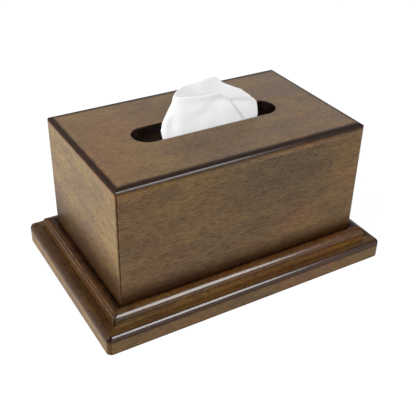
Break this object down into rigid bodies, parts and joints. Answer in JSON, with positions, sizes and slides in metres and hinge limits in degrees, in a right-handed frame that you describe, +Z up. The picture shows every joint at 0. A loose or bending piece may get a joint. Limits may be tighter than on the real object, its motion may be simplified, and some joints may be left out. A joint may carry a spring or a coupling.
{
  "type": "tissue box with drawer",
  "caption": "Stained wooden tissue box: a lift-off cover with a long slot stands in a moulded plinth, and a slim drawer slides out of the plinth's back edge.",
  "frame": {"origin": "middle of the footprint, on the surface that the felt pads stand on", "axes": "+X along the box's length, to the right of the long plain face; -Y is the long plain face that the picture shows, and +Y the back, where the drawer comes out; +Z up"},
  "size_m": [0.3068, 0.202, 0.1898],
  "materials": {
    "stained_wood": "satin brown stain with a dark antique glaze on the edges",
    "bare_wood": "light inside wood under a thin matt lacquer",
    "pad_felt": "dense dark felt",
    "lining_felt": "wine-red felt",
    "screw_steel": "zinc-plated steel",
    "pin_brass": "plain brass",
    "carton_board": "plain brown carton board",
    "tissue_paper": "soft white tissue, two plies"
  },
  "bodies": {
    "plinth": {"base_front_rail": "stained_wood", "base_left_rail": "stained_wood", "base_right_rail": "stained_wood", "under_panel": "bare_wood", "deck_panel": "bare_wood", "moulding_front": "stained_wood", "moulding_right": "stained_wood", "moulding_back": "stained_wood", "moulding_left": "stained_wood", "felt_pads": "pad_felt", "panel_screws": "screw_steel", "stop_pins": "pin_brass", "tissue_carton": "carton_board", "tissue_stack": "tissue_paper", "pop_up_tissue": "tissue_paper"},
    "cover": {"cover_front_wall": "stained_wood", "cover_right_wall": "stained_wood", "cover_back_wall": "stained_wood", "cover_left_wall": "stained_wood", "cover_top": "stained_wood", "corner_blocks": "bare_wood"},
    "drawer": {"drawer_front": "stained_wood", "drawer_left_side": "bare_wood", "drawer_right_side": "bare_wood", "drawer_back": "bare_wood", "drawer_bottom": "bare_wood", "drawer_lining": "lining_felt"}
  },
  "joints": [
    {"name": "cover_lift", "type": "slide", "parent": "plinth", "child": "cover", "axis": [0, 0, 1], "range_m": [0, 0.18]},
    {"name": "drawer_slide", "type": "slide", "parent": "plinth", "child": "drawer", "axis": [0, 1, 0], "range_m": [0, 0.1]}
  ]
}
